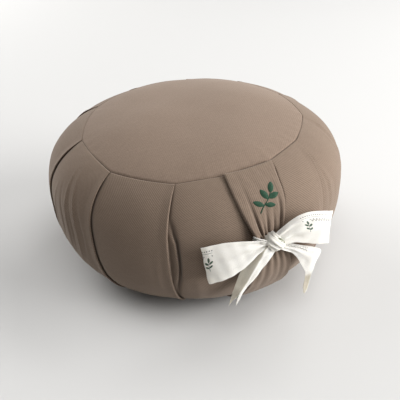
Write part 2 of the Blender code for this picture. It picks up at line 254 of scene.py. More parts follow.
# Gathers of the strap: where each one runs at the seam and at the waist, in
# half-widths from the middle; half its width there; how near the waist it
# starts, from 0 at the seam to 1; and its depth.
UPPER_GATHERS = [
    # at_seam, at_waist, half, start, depth
    (-0.56, -0.50, 0.055, 0.00, 1.20),
    (-0.24, -0.30, 0.060, 0.45, 0.45),
    (0.12, -0.10, 0.060, 0.25, 0.75),
    (0.34, 0.36, 0.060, 0.35, 0.60),
    (0.62, 0.82, 0.055, 0.00, 1.10),
]
LOWER_GATHERS = [
    (-0.80, -0.66, 0.090, 0.10, 0.90),
    (-0.42, -0.30, 0.100, 0.00, 0.85),
    (0.02, 0.04, 0.090, 0.20, 0.95),
    (0.40, 0.36, 0.090, 0.00, 0.80),
    (0.76, 0.70, 0.085, 0.15, 0.90),
]
STRAP_ROWS = 170
STRAP_COLUMNS = 90


# ---- the cushion's outline ------------------------------------------------
def side_height(radius, upper):
    """Height of the outline at a radius: one half of a superellipse."""
    share = np.clip(radius / GIRTH_RADIUS, 0.0, 1.0)
    if upper:
        rise = (1.0 - share ** CROWN_POWER) ** (1.0 / CROWN_POWER)
        return GIRTH_HEIGHT + (CROWN_HEIGHT - GIRTH_HEIGHT) * rise
    drop = (1.0 - share ** FOOT_POWER) ** (1.0 / FOOT_POWER)
    return np.maximum(GIRTH_HEIGHT - FOOT_DEPTH * drop, 0.0)


def side_radius(height):
    """Radius of the outline at a height."""
    height = np.asarray(height, float)
    up = np.clip((height - GIRTH_HEIGHT) / (CROWN_HEIGHT - GIRTH_HEIGHT), 0, 1)
    down = np.clip((GIRTH_HEIGHT - height) / FOOT_DEPTH, 0, 1)
    upper = (1.0 - up ** CROWN_POWER) ** (1.0 / CROWN_POWER)
    lower = (1.0 - down ** FOOT_POWER) ** (1.0 / FOOT_POWER)
    return GIRTH_RADIUS * np.minimum(upper, lower)


def side_normal(height):
    """Outward direction of the outline at a height, as (radial, up)."""
    step = 0.0005
    low = np.maximum(height - step, 0.0)
    high = np.minimum(height + step, CROWN_HEIGHT)
    radial = high - low
    upward = side_radius(low) - side_radius(high)
    length = np.hypot(radial, upward)
    return radial / length, upward / length


def to_world(azimuth, radius, height):
    """Points from azimuth, radius and height."""
    return np.stack(np.broadcast_arrays(radius * np.sin(azimuth),
                                        -radius * np.cos(azimuth),
                                        height), axis=-1)


def smooth_rows(table, places):
    """A table's columns at in-between places, on Catmull-Rom curves."""
    table = np.asarray(table, float)
    padded = np.vstack([2 * table[0] - table[1], table,
                        2 * table[-1] - table[-2]])
    index = np.clip(places.astype(int), 0, len(table) - 2)
    share = (places - index)[:, None]
    before, start, end, after = (padded[index + k] for k in range(4))
    return 0.5 * (2 * start + (end - before) * share
                  + (2 * before - 5 * start + 4 * end - after) * share ** 2
                  + (3 * start - before - 3 * end + after) * share ** 3)


def smooth_step(value, low, high):
    """0 below low, 1 above high, and an S-curve between."""
    share = np.clip((value - low) / (high - low), 0.0, 1.0)
    return share * share * (3 - 2 * share)


def unevenness(points, wavelength, seed, waves=16):
    """Smooth random relief, mostly from -1 to 1: a sum of plane waves.

    Each wave has a random heading in space and a pace near the wavelength;
    the sum is scaled by 1 over the root of their number.
    """
    random = np.random.default_rng(seed)
    relief = np.zeros(points.shape[:-1])
    for _ in range(waves):
        heading = random.normal(size=3)
        heading /= np.linalg.norm(heading)
        pace = 2 * math.pi / (wavelength * random.uniform(0.7, 1.5))
        relief += np.sin(pace * (points @ heading)
                         + random.uniform(0, 2 * math.pi))
    return relief / math.sqrt(waves)


def waist_dent(azimuth, height):
    """How far the tied ribbon draws the band in round the strap's waist."""
    turn = (azimuth + math.pi) % (2 * math.pi) - math.pi
    along = turn * GIRTH_RADIUS - WAIST_ALONG
    away = (along ** 2 + (height - WAIST_HEIGHT) ** 2) / WAIST_REACH ** 2
    return WAIST_DENT * np.exp(-away)


def strap_furrow(azimuth, height):
    """Depth of the narrow furrows in the band beside the strap's edges.

    Each is a bell section that follows an edge of the strap's own table and
    fades out at the seam and at the waist.
    """
    rows = np.array(STRAP_SECTIONS)[::-1]
    radius = side_radius(height)
    depth = 0.0
    for side, beyond, half, deep in ((-1, 0.0, 0.7, 1.4), (1, 0.5, 1.1, 2.8)):
        edge = np.interp(height / MM, rows[:, 0],
                         rows[:, 1] + side * (rows[:, 2] + beyond))
        away = (azimuth * radius / MM - edge) / half
        depth = depth + deep * MM * np.exp(-away ** 2)
    return (depth * smooth_step(height, 0.122, 0.136)
            * (1 - smooth_step(height, 0.1705, 0.1755)))


def seam_depth(azimuth):
    """How clearly the top seam shows: 1 in front, less round the back."""
    turn = (np.degrees(azimuth) + 180) % 360 - 180
    front = (smooth_step(turn, -88, -70) * (1 - smooth_step(turn, 34, 48)))
    return 0.25 + 0.75 * front


def pleat_rows():
    """The pleats in rising azimuth, the first again a full turn later."""
    rows = np.array(PLEATS, float)
    again = rows[:1].copy()
    again[0, :3] += 360
    return np.vstack([rows, again])


def pleat_azimuth(rise):
    """Azimuth of every pleat at a rise of 0 at the foot to 1 at the top.

    A parabola in the rise goes through the three azimuths of its row.
    """
    rows = pleat_rows()
    rise = np.atleast_1d(rise)[:, None]
    foot = (2 * rise - 1) * (rise - 1)
    girth = 4 * rise * (1 - rise)
    top = rise * (2 * rise - 1)
    return np.radians(rows[:, 2] * foot + rows[:, 1] * girth
                      + rows[:, 0] * top)


def top_seam_radius(azimuth):
    """The top seam: from pleat to pleat, between an arc and its chord."""
    rows = pleat_rows()
    start = math.radians(rows[0, 0])
    turn = start + (azimuth - start) % (2 * math.pi)
    line = np.radians(rows[:, 0])
    panel = np.clip(np.searchsorted(line, turn, side="right") - 1, 0,
                    len(PLEATS) - 1)
    span = line[panel + 1] - line[panel]
    across = (turn - line[panel]) / span
    arc = rows[panel, 3] * (1 - across) + rows[panel + 1, 3] * across
    sag = ((1 - rows[panel, 5]) * (1 - np.cos(span / 2))
           * (1 - (2 * across - 1) ** 2))
    return arc * (1 - sag) * MM


# ---- meshes ---------------------------------------------------------------
def grid_quads(rows, columns, wrap):
    """Corners of every quad on a grid, as rows and columns not yet wrapped."""
    row = np.arange(rows - 1)[:, None]
    column = np.arange(columns if wrap else columns - 1)[None, :]
    row, column = (k.ravel() for k in np.broadcast_arrays(row, column))
    return (np.stack([row, row, row + 1, row + 1], axis=1),
            np.stack([column, column + 1, column + 1, column], axis=1))


class MeshParts:
    """Points, faces, texture places and shade values of one mesh."""

    def __init__(self):
        self.points, self.faces, self.places, self.shades = [], [], [], []
        self.count = 0

    def add_grid(self, points, places, wrap=False, shade=None):
        """A grid of points; places has one more column where it wraps."""
        rows, columns = points.shape[:2]
        row, column = grid_quads(rows, columns, wrap)
        self.faces.append(self.count + row * columns + column % columns)
        self.places.append(places[row, column])
        self.keep(points.reshape(-1, 3), shade)

    def add_faces(self, faces, places):
        """Extra quads or triangles over points that are already there."""
        self.faces.append(np.asarray(faces))
        self.places.append(np.asarray(places, float))

    def keep(self, points, shade):
        """Stores points and their shade values."""
        self.points.append(points)
        if shade is None:
            shade = np.zeros(len(points))
        self.shades.append(np.ravel(shade))
        self.count += len(points)

    def build(self, name, material, sharp=None):
        """The object, with its texture places in UVMap and shade values."""
        mesh = bpy.data.meshes.new(name)
        points = np.concatenate(self.points).astype(np.float32)
        sizes = np.concatenate([np.full(len(f), f.shape[1])
                                for f in self.faces])
        corners = np.concatenate([f.ravel() for f in self.faces])
        mesh.vertices.add(len(points))
        mesh.vertices.foreach_set("co", points.ravel())
        mesh.loops.add(len(corners))
        mesh.loops.foreach_set("vertex_index", corners.astype(np.int32))
        mesh.polygons.add(len(sizes))
        starts = np.concatenate([[0], np.cumsum(sizes)[:-1]])
        mesh.polygons.foreach_set("loop_start", starts.astype(np.int32))
        mesh.update(calc_edges=True)
        layer = mesh.uv_layers.new(name="UVMap")
        flat = np.concatenate([p.reshape(-1, 2) for p in self.places])
        layer.data.foreach_set("uv", flat.astype(np.float32).ravel())
        shade = mesh.attributes.new("shade", "FLOAT", "POINT")
        shade.data.foreach_set(
            "value", np.concatenate(self.shades).astype(np.float32))
        mesh.validate()
        mesh.shade_smooth()
        if sharp is not None:
            mesh.set_sharp_from_angle(angle=math.radians(sharp))
        mesh.materials.append(material)
        piece = bpy.data.objects.new(name, mesh)
        bpy.context.scene.collection.objects.link(piece)
        return piece


def turned_out(points, centre):
    """True if a grid's faces, rows by columns, point away from a centre."""
    across = points[1:, :-1] - points[:-1, :-1]
    along = points[:-1, 1:] - points[:-1, :-1]
    normal = np.cross(along, across)
    return np.sum(normal * (points[:-1, :-1] - centre)) > 0


def add_strip(parts, front, back, places, shade=None):
    """A closed sheet from two grids of points: its front and its back.

    The two are joined along both edges and capped at both ends.
    """
    rows, columns = front.shape[:2]
    start = parts.count
    ring = np.concatenate([front, back[:, ::-1]], axis=1)
    ring_places = np.concatenate(
        [places, places[:, ::-1], places[:, :1]], axis=1)
    if shade is not None:
        shade = np.concatenate([shade, shade[:, ::-1]], axis=1)
    parts.add_grid(ring, ring_places, wrap=True, shade=shade)
    wide = ring.shape[1]
    near = np.arange(columns - 1)
    for row, flip in ((0, True), (rows - 1, False)):
        base = start + row * wide
        far = wide - 1 - near
        cap = np.stack([base + near, base + near + 1,
                        base + far - 1, base + far], axis=1)
        at = places[row][np.stack([near, near + 1, near + 1, near], axis=1)]
        if flip:
            cap, at = cap[:, ::-1], at[:, ::-1]
        parts.add_faces(cap, at)


def close_ends(parts, rings):
    """Closes the first grid of parts, with a fan at each end."""
    columns = rings.shape[1]
    here = np.arange(columns)
    there = (here + 1) % columns
    for row, flip in ((0, True), (len(rings) - 1, False)):
        parts.keep(rings[row].mean(axis=0)[None, :], None)
        fan = np.stack([row * columns + here, row * columns + there,
                        np.full(columns, parts.count - 1)], axis=1)
        if flip:
            fan = fan[:, ::-1]
        parts.add_faces(fan, np.zeros((columns, 3, 2)))


def lengths_along(points, axis):
    """Distance from the first row or column of a grid to each one."""
    step = np.linalg.norm(np.diff(points, axis=axis), axis=-1)
    total = np.cumsum(step, axis=axis)
    start = np.zeros_like(np.take(total, [0], axis=axis))
    return np.concatenate([start, total], axis=axis)


# ---- the pleated band -----------------------------------------------------
def fold_columns():
    """The fold's section on a finer row of columns, shut and open, in mm."""
    places = np.linspace(0, len(FOLD_SECTION) - 1,
                         (len(FOLD_SECTION) - 1) * FOLD_STEPS + 1)
    return smooth_rows(FOLD_SECTION, places)


def band_grid(rise, open_share, fold_share):
    """Azimuths and outward moves of every column, for every row of the band.

    rise, open_share and fold_share have one value per row; the columns go
    fold, panel, fold, panel right round.
    """
    line = pleat_azimuth(rise)
    pleats = pleat_rows()
    section = fold_columns()
    count = len(PLEATS)
    azimuths, moves, folds, starts, ends = [], [], [], [], []
    for pleat in range(count + 1):
        opened = open_share if pleat % count == OPEN_PLEAT else 0 * open_share
        opened = opened[:, None]
        along = section[:, 0] * (1 - opened) + section[:, 2] * opened
        out = section[:, 1] * (1 - opened) + section[:, 3] * opened
        strength = pleats[pleat, 6] * fold_share[:, None]
        strength = strength * (1 - opened) + opened
        azimuth = line[:, pleat:pleat + 1] + along * MM / GIRTH_RADIUS
        starts.append(azimuth[:, :1])
        ends.append(azimuth[:, -1:])
        folds.append((azimuth, out * strength * MM))
    for pleat in range(count):
        azimuth, out = folds[pleat]
        columns = int(pleats[pleat, 7])
        share = np.linspace(0, 1, columns + 1)[None, 1:-1]
        between = ends[pleat] * (1 - share) + starts[pleat + 1] * share
        end_out = out[:, -1:]
        next_out = folds[pleat + 1][1][:, :1]
        blend = end_out * (1 - share) ** 4 + next_out * share ** 4
        azimuths += [azimuth, between]
        moves += [out, blend]
    return (np.concatenate(azimuths, axis=1), np.concatenate(moves, axis=1),
            line)


def panel_puff(azimuth, line):
    """Puff of the panels: a sine hump between each pleat and the next."""
    pleats = pleat_rows()
    puff = np.zeros_like(azimuth)
    for panel in range(len(PLEATS)):
        low, high = line[:, panel:panel + 1], line[:, panel + 1:panel + 2]
        for turn in (0.0, 2 * math.pi, -2 * math.pi):
            share = (azimuth + turn - low) / (high - low)
            inside = (share > 0) & (share < 1)
            hump = np.sin(math.pi * np.clip(share, 0, 1)) ** 0.7
            puff = np.where(inside, pleats[panel, 4] * hump, puff)
    return puff * MM


def crease_relief(azimuth, height):
    """Soft creases: ridges with a bell section that fade at both ends.

    A parabola over the crease's own height goes through its three azimuths.
    """
    relief = np.zeros_like(azimuth)
    for foot_az, mid_az, head_az, foot, head, half, rise in CREASES:
        share = (height / MM - foot) / (head - foot)
        middle = np.radians(foot_az * (2 * share - 1) * (share - 1)
                            + mid_az * 4 * share * (1 - share)
                            + head_az * share * (2 * share - 1))
        turn = (azimuth - middle + math.pi) % (2 * math.pi) - math.pi
        away = turn * GIRTH_RADIUS / (half * MM)
        fade = np.sin(math.pi * np.clip(share, 0, 1)) ** 0.8
        relief += rise * MM * fade * np.exp(-away ** 2)
    return relief


def band_rise():
    """Rise of every row, 0 at the foot seam and 1 at the top seam."""
    near = np.array((0.0,) + SEAM_ROWS) * MM / BAND_LENGTH
    even = np.linspace(0, 1, BAND_ROWS)
    main = even - 0.35 * np.sin(2 * math.pi * even) / (2 * math.pi)
    main = main[(main > near[-1] * 1.3) & (main < 1 - near[-1] * 1.3)]
    return np.concatenate([near, main, 1 - near[::-1]])


def band_points():
    """The band's grid: rows from the foot seam up to the top seam."""
    rise = band_rise()
    fold_share = (0.30 + 0.70 * smooth_step(rise, 0.0, 0.16)
                  * smooth_step(1 - rise, 0.0, 0.14))
    # a rough height of each row in mm, to look up how far the pleat gapes
    angle_share = rise * 2 - 0.9
    rough_height = np.where(
        angle_share > 0, 111 + 64 * np.clip(angle_share / 1.1, 0, 1) ** 0.9,
        111 - 102 * np.clip(-angle_share / 0.9, 0, 1) ** 0.9)
    gape = np.array(GAPE)
    open_share = np.interp(rough_height, gape[:, 0], gape[:, 1])
    azimuth, out, line = band_grid(rise, open_share, fold_share)
    rise = rise[:, None]
    foot_radius = side_radius(BOTTOM_SEAM_HEIGHT)
    foot_angle = -math.acos((foot_radius / GIRTH_RADIUS) ** (FOOT_POWER / 2))
    top_radius = top_seam_radius(azimuth)
    top_angle = np.arccos((top_radius / GIRTH_RADIUS) ** (CROWN_POWER / 2))
    angle = foot_angle + (top_angle - foot_angle) * rise
    up = np.abs(np.sin(angle))
    height = np.where(
        angle > 0,
        GIRTH_HEIGHT + (CROWN_HEIGHT - GIRTH_HEIGHT) * up ** (2 / CROWN_POWER),
        GIRTH_HEIGHT - FOOT_DEPTH * up ** (2 / FOOT_POWER))
    window = np.sin(math.pi * np.clip(rise, 0.0, 1.0)) ** 0.6
    puff = panel_puff(azimuth, line) * window
    relief = crease_relief(azimuth, height) * window
    plain = to_world(azimuth, side_radius(height), height)
    calm = 1 - 0.8 * np.exp(-((azimuth * GIRTH_RADIUS) / 0.035) ** 2)
    calm = calm * window
    for high, *pace in (LONG_SWELL, SHORT_SWELL):
        relief += high * unevenness(plain, *pace) * calm
    drawn = plain * np.array([1.0, 1.0, 0.12])
    gathers = (1 - smooth_step(height, 0.015, 0.070)) * window
    relief += FOOT_GATHERS[0] * gathers * unevenness(drawn, *FOOT_GATHERS[1:])
    puckers = np.exp(-(1 - rise) * BAND_LENGTH / 0.012) * window
    relief += SEAM_PUCKERS[0] * puckers * unevenness(drawn, *SEAM_PUCKERS[1:])
    # the last millimetre rolls over into each seam
    to_seam = np.minimum(rise, 1 - rise) * BAND_LENGTH
    seen = np.where(rise > 0.5, seam_depth(azimuth), 1.0)
    roll = 0.0009 * seen * np.exp(-(to_seam / 0.0007) ** 2)
    move = (out + puff + relief - roll - waist_dent(azimuth, height)
            - strap_furrow(azimuth, height))
    radial, upward = side_normal(height)
    radius = side_radius(height)
    points = to_world(azimuth, radius + move * radial, height + move * upward)
    # The shade value paints light and shade: below 0 where a fold sinks in, for painted
    # shade in its depth, above 0 on its lip, for a painted highlight.
    shade = np.clip(out / 0.0026, -1, 1)
    return points, shade


def closing_rings(edge, upper):
    """Rings that close the band under a panel, from its seam inwards.

    Each ring keeps the edge's own azimuths and lies a little inside the
    panel; the last one is small enough for a fan.
    """
    sink = -0.0040 if upper else 0.0040
    rings = []
    azimuth = np.arctan2(edge[:, 0], -edge[:, 1])
    radius = np.hypot(edge[:, 0], edge[:, 1])
    first = edge.copy()
    first[:, 2] += sink * 0.6
    rings.append(first)
    for share in (0.93, 0.80, 0.60, 0.35, 0.12):
        inner = radius * share
        rings.append(to_world(azimuth, inner,
                              side_height(inner, upper) + sink))
    return rings


def pleated_band(material):
    """The padded band: its grid, closed above and below under the panels."""
    points, shade = band_points()
    foot = np.stack(closing_rings(points[0], upper=False)[::-1])
    head = np.stack(closing_rings(points[-1], upper=True))
    grid = np.concatenate([foot, points, head])
    shades = np.concatenate([np.repeat(shade[:1], len(foot), axis=0), shade,
                             np.repeat(shade[-1:], len(head), axis=0)])
    middle = points[points.shape[0] // 2]
    around = np.linalg.norm(np.roll(middle, -1, axis=0) - middle, axis=1)
    around = np.concatenate([[0], np.cumsum(around)])
    upward = lengths_along(grid, 0).mean(axis=1)
    places = np.stack(np.broadcast_arrays(around[None, :],
                                          upward[:, None]), axis=-1)
    parts = MeshParts()
    parts.add_grid(grid, places, wrap=True, shade=shades)
    close_ends(parts, grid)
    return parts.build("pleated_band", material)


# ---- the round panels -----------------------------------------------------
PANEL_RINGS = 46
PANEL_ROUND = 360


def panel_shares():
    """Each ring's share of the seam's radius, closer near the seam."""
    near = np.array((0.0,) + SEAM_ROWS) * MM / TOP_SEAM_RADIUS
    main = 1 - (1 - np.linspace(0.006, 1, PANEL_RINGS)) ** 1.25
    return np.concatenate([main[main < 1 - near[-1] * 1.3], 1 - near[::-1]])


def round_panel(name, material, upper, seed):
    """A round sheet on the outline, sunk at its seam, with faint puckers.

    Rings run from the middle to the seam; the front is the outline itself,
    the back lies a thickness inside it.
    """
    azimuth = np.linspace(0, 2 * math.pi, PANEL_ROUND, endpoint=False)[None, :]
    share = panel_shares()[:, None]
    if upper:
        seam = (top_seam_radius(azimuth)
                - SEAM_GAP * (0.4 + 0.6 * seam_depth(azimuth)))
    else:
        seam = np.full_like(azimuth,
                            side_radius(BOTTOM_SEAM_HEIGHT) - SEAM_GAP)
    radius = seam * share
    height = side_height(radius, upper)
    plain = to_world(azimuth, radius, height)
    to_seam = seam - radius
    roll = 0.0008 * np.exp(-(to_seam / 0.0008) ** 2)
    if upper:
        roll = roll * seam_depth(azimuth)
    pucker = np.exp(-to_seam / 0.010) * (1 - np.exp(-to_seam / 0.002))
    drawn = to_world(azimuth, 0.12 + 0.1 * radius, 0 * radius)
    relief = 0.00022 * pucker * unevenness(drawn, 0.012, seed)
    if upper:
        calm = 1 - share ** 8
        relief = relief + 0.0011 * calm * unevenness(plain, 0.150, seed + 1)
        relief = relief + 0.00018 * calm * unevenness(plain, 0.045, seed + 2)
        height = height + relief - roll
        back = height - PANEL_THICKNESS
    else:
        lifted = smooth_step(radius, 0.112, 0.118)
        height = height + (roll - relief) * lifted
        back = height + PANEL_THICKNESS
    front = to_world(azimuth, radius, height)
    under = to_world(azimuth, radius, back)
    places = np.stack([radius * np.sin(azimuth), radius * np.cos(azimuth)],
                      axis=-1)
    places = np.concatenate([places, places[:, :1]], axis=1)
    if not upper:
        front, under = under, front
    parts = MeshParts()
    whole = np.concatenate([front, under[::-1]])
    whole_places = np.concatenate([places, places[::-1]])
    parts.add_grid(whole, whole_places, wrap=True)
    close_ends(parts, whole)
    return parts.build(name, material, sharp=50)


# ---- the strap ------------------------------------------------------------
def gather_relief(across, place):
    """How deep the strap's gathers cut, from 0 on its ridges to 1.

    Each gather is a trough with a bell section that drifts from its place at
    the seam to its place at the waist and deepens on the way.
    """
    relief = np.zeros(np.broadcast(across, place).shape)
    last = len(STRAP_SECTIONS) - 1
    upper = np.clip(place / STRAP_WAIST_PLACE, 0, 1)
    lower = np.clip((last - place) / (last - STRAP_WAIST_PLACE), 0, 1)
    for table, near, side in (
            (UPPER_GATHERS, upper, 1 - smooth_step(place, 4.0, 5.0)),
            (LOWER_GATHERS, lower, smooth_step(place, 4.0, 5.0))):
        for at_seam, at_waist, half, start, depth in table:
            middle = at_seam + (at_waist - at_seam) * near
            grown = smooth_step(near, start, 1.0) ** 0.65 * side
            wide = half * (1.5 - 0.5 * near)
            trough = np.exp(-((across - middle) / wide) ** 2)
            relief += depth * grown * trough
    return np.clip(relief, 0, 1.2)


def strap_surface(across, place, lift=0.0):
    """Points of the strap's outer face, lifted off it by some metres.

    across runs from -1 to 1, place along the rows of STRAP_SECTIONS.
    """
    shape = np.broadcast(across, place).shape
    across = np.broadcast_to(across, shape)
    place = np.broadcast_to(place, shape)
    rows = smooth_rows(STRAP_SECTIONS, place.ravel()) * MM
    height, middle, half, under, gather = (
        rows[:, k].reshape(shape) for k in range(5))
    radius = side_radius(height)
    azimuth = (middle + half * across) / (radius + under)
    radial, upward = side_normal(height)
    crown = 1 - 0.95 * np.abs(across) ** 36
    out = (under + STRAP_THICKNESS
           + gather * (crown - gather_relief(across, place))
           - waist_dent(azimuth, height) + lift)
    return to_world(azimuth, radius + out * radial, height + out * upward)


def carry_strap(material):
    """The strap as a sheet with soft edges, on its gathered surface."""
    across = np.linspace(-1, 1, STRAP_COLUMNS)[None, :]
    across = np.sin(across * math.pi / 2) * 0.35 + across * 0.65
    place = np.linspace(0, len(STRAP_SECTIONS) - 1, STRAP_ROWS)[:, None]
    edge = np.clip((1 - np.abs(across)) / 0.07, 0, 1)
    soft = np.sqrt(np.clip(1 - (1 - edge) ** 2, 0.02, 1))
    plain = strap_surface(across, place)
    ripple = 0.00016 * unevenness(plain * np.array([1, 1, 0.3]), 0.011, 21)
    drop = -STRAP_THICKNESS / 2
    front = strap_surface(across, place, drop + STRAP_THICKNESS / 2 * soft
                          + ripple)
    back = strap_surface(across, place, drop - STRAP_THICKNESS / 2 * soft)
    depth = gather_relief(across, place)
    along = lengths_along(front, 0).mean(axis=1)
    width = STRAP_HALF_WIDTH * across[0]
    places = np.stack(np.broadcast_arrays(width[None, :], along[:, None]),
                      axis=-1)
    parts = MeshParts()
    # The gathers' depth as a shade value below 0: painted shade in their troughs.
    add_strip(parts, front, back, places, shade=-depth * 0.8)
    return parts.build("gathered_strap", material)


# ---- the ribbon -----------------------------------------------------------
RIBBON_WIDTH = 0.040
# The ribbon in mm.  A point is given along the girth, out from the girth's
# radius, and by height.  Each row is a section: its edge a, its middle m and
# its edge b, then how deep it is creased lengthwise, and how sharply it is
# folded at m, from 0 for a bow to 1 for a fold.
LEFT_LOOP = [
    # along_a, out_a, height_a, along_m, out_m, height_m,
    # along_b, out_b, height_b, crease, fold
    (-11, 9.0, 119.5, -11, 10.0, 117.0, -11, 9.5, 113.0, 0.8, 0),
    (-20, 8.5, 124.0, -19, 10.5, 118.5, -17.5, 9.5, 110.5, 1.3, 0),
    (-33.5, 9.0, 128.5, -32, 12.5, 117.5, -30, 11.5, 102.5, 1.1, 0),
    (-44, 9.5, 131.0, -43.5, 14.5, 115.5, -42, 14.0, 95.5, 0.6, 0),
    (-57.5, 10.0, 132.5, -59, 15.5, 113.5, -57, 16.0, 90.5, 0.3, 0),
    (-72, 10.5, 131.0, -70, 15.0, 111.0, -67.5, 15.5, 87.0, 0.1, 0),
    (-77.8, 10.0, 129.3, -74.8, 13.6, 108.8, -71.8, 14.0, 84.8, 0, 0),
    (-79.6, 8.7, 128.2, -76.4, 12.0, 107.7, -73.1, 12.0, 83.4, 0, 0),
    (-78.6, 7.2, 127.2, -75.4, 10.0, 106.6, -72.2, 10.0, 83.4, 0, 0),
    (-67.5, 3.6, 124.5, -65, 5.5, 106.0, -62.5, 5.5, 85.0, 0, 0),
    (-40, 3.8, 121.5, -39, 5.8, 110.0, -37.5, 6.4, 98.0, 0.3, 0),
    (-14, 7.0, 120.0, -14, 7.5, 116.0, -14, 7.5, 112.5, 0.5, 0),
]
RIGHT_LOOP = [
    (-6, 9.0, 125.0, -2.5, 10.0, 120.0, 1, 9.5, 114.5, 0.8, 0),
    (0.5, 9.5, 131.0, 4, 12.0, 123.0, 8.5, 11.5, 113.0, 1.4, 0),
    (10.5, 11.0, 138.0, 13, 14.0, 127.5, 18.5, 14.0, 112.0, 1.2, 0),
    (21.5, 13.0, 143.0, 23, 17.5, 129.0, 29, 17.0, 106.5, 0.6, 0),
    (34, 16.5, 143.5, 34.5, 20.5, 127.0, 40.5, 20.0, 100.5, 0.4, 0),
    (49, 19.5, 138.0, 47, 22.5, 121.0, 51.5, 21.5, 94.5, 0.2, 0),
    (61.5, 20.5, 131.0, 57.5, 22.0, 114.0, 60, 20.5, 89.0, 0, 0),
    (64.6, 19.4, 129.4, 60.6, 20.8, 112.0, 62.4, 19.2, 87.2, 0, 0),
    (64.2, 17.4, 128.4, 60.4, 18.8, 111.4, 61.8, 17.2, 87.2, 0, 0),
    (52, 10.5, 128.0, 50, 12.0, 112.0, 52, 10.5, 92.0, 0, 0),
    (30.5, 7.0, 130.0, 30.5, 8.5, 119.0, 34, 8.5, 104.0, 0.3, 0),
    (1.5, 8.5, 123.5, 3, 8.8, 119.0, 5, 8.8, 114.5, 0.5, 0),
]
LEFT_TAIL = [
    (-12, 9.5, 117.0, -9.5, 11.0, 117.0, -5, 10.5, 112.0, 0.5, 0.3),
    (-20, 9.0, 110.5, -16.0, 12.0, 114.0, -3.5, 10.0, 107.0, 0.4, 0.7),
    (-31, 7.5, 100.0, -20.0, 12.5, 106.5, -9.0, 9.5, 98.5, 0.3, 1),
    (-40, 7.0, 90.0, -26.2, 12.0, 95.0, -16.5, 8.8, 88.5, 0.2, 1),
    (-44.5, 6.0, 76.0, -33.6, 10.5, 77.0, -27.5, 7.5, 73.0, 0.1, 1),
    (-48.5, 5.5, 62.5, -40.6, 8.5, 63.5, -36.2, 6.0, 60.0, 0, 0.9),
    (-51.0, 4.8, 51.0, -44.6, 7.4, 54.0, -41.2, 5.2, 50.0, 0, 0.8),
    (-53.0, 4.5, 41.0, -48.4, 6.0, 47.0, -45.0, 4.6, 40.0, 0, 0.7),
]
RIGHT_TAIL = [
    (1, 10.0, 116.0, 1, 10.5, 112.0, 1.5, 9.5, 107.5, 0.6, 0),
    (14, 9.0, 108.5, 12.8, 9.6, 104.0, 11.5, 9.0, 99.0, 0.6, 0),
    (28, 11.5, 100.5, 21.5, 11.5, 98.5, 18.0, 10.0, 94.0, 0.4, 0),
    (43, 14.5, 91.5, 32.0, 14.5, 88.5, 23.5, 11.0, 85.5, 0.2, 0),
    (55.0, 16.0, 80.5, 41.0, 15.8, 77.5, 28.0, 12.0, 76.0, 0.1, 0),
    (50.0, 16.0, 71.0, 40.8, 15.6, 69.5, 32.0, 13.0, 67.0, 0, 0),
    (45.3, 16.0, 61.0, 40.4, 15.2, 60.6, 35.0, 13.5, 59.6, 0, 0),
    (41.8, 15.8, 54.0, 39.0, 14.2, 53.6, 36.2, 13.0, 53.2, 0, 0),
    (40.6, 15.0, 44.0, 38.4, 13.6, 45.0, 36.0, 12.4, 46.0, 0, 0),
    (39.6, 14.0, 35.0, 37.4, 13.0, 36.2, 35.0, 12.0, 37.4, 0, 0),
    (37.0, 13.0, 27.5, 36.2, 12.6, 28.0, 35.4, 12.2, 28.6, 0, 0),
]
WRAP = [
    (2, 10.0, 122.0, 2, 10.6, 117.5, 2, 9.5, 112.5, 0.8, 0),
    (7.5, 9.0, 123.0, 7.5, 9.8, 117.5, 7.5, 9.0, 112.0, 0.8, 0),
    (11.8, 5.6, 123.0, 11.9, 6.2, 117.5, 11.8, 5.6, 112.0, 0.8, 0),
    (12.4, 1.4, 123.0, 12.6, 1.8, 117.5, 12.4, 1.8, 112.0, 0.8, 0),
    (6, -1.6, 123.0, 6, -1.8, 117.5, 6, -1.2, 112.0, 0.8, 0),
    (-7, -2.3, 123.0, -7, -2.5, 117.5, -7, -1.8, 112.0, 0.8, 0),
    (-19, -1.6, 124.5, -19, -1.6, 119.0, -19, -1.2, 113.5, 0.8, 0),
    (-24.4, 1.2, 127.5, -24.6, 1.4, 122.5, -24.2, 1.6, 118.0, 0.8, 0),
    (-25.0, 5.0, 129.0, -25.2, 5.8, 125.5, -24.4, 5.2, 121.5, 0.8, 0),
    (-20.5, 8.4, 127.6, -20.5, 9.4, 124.5, -19.5, 8.6, 121.0, 0.7, 0),
    (-14, 10.0, 124.5, -14, 10.8, 121.5, -13.5, 10.0, 118.5, 0.5, 0),
]
RIBBON_COLUMNS = 28
RIBBON_STEPS = 9
# The knot's turns of ribbon, side by side over its middle, in mm: how far
# across from the middle each lies where it starts and ends, half its width,
# half its length, how high it arches and how deep it is creased.
KNOT_MIDDLE = (-3.5, 117.5)          # along the girth and height, mm
KNOT_TILT = math.radians(-52)        # its turns fall to the right
KNOT_BASE = 6.0                      # mm out from the girth
KNOT_TURNS = [
    # start_across, end_across, half, length, arch, crease
    (-3.6, -5.0, 4.2, 10.5, 9.0, 0.5),
    (-0.6, 2.2, 3.4, 12.5, 11.2, 0.4),
    (4.6, 3.2, 3.2, 11.0, 9.6, 0.5),
    (-5.4, -0.6, 2.8, 11.5, 10.4, 0.3),
]


def ribbon_place(points):
    """World points from rows of along, out and height, in mm."""
    along, out, height = (points[..., k] * MM for k in range(3))
    return to_world(along / GIRTH_RADIUS, GIRTH_RADIUS + out, height)


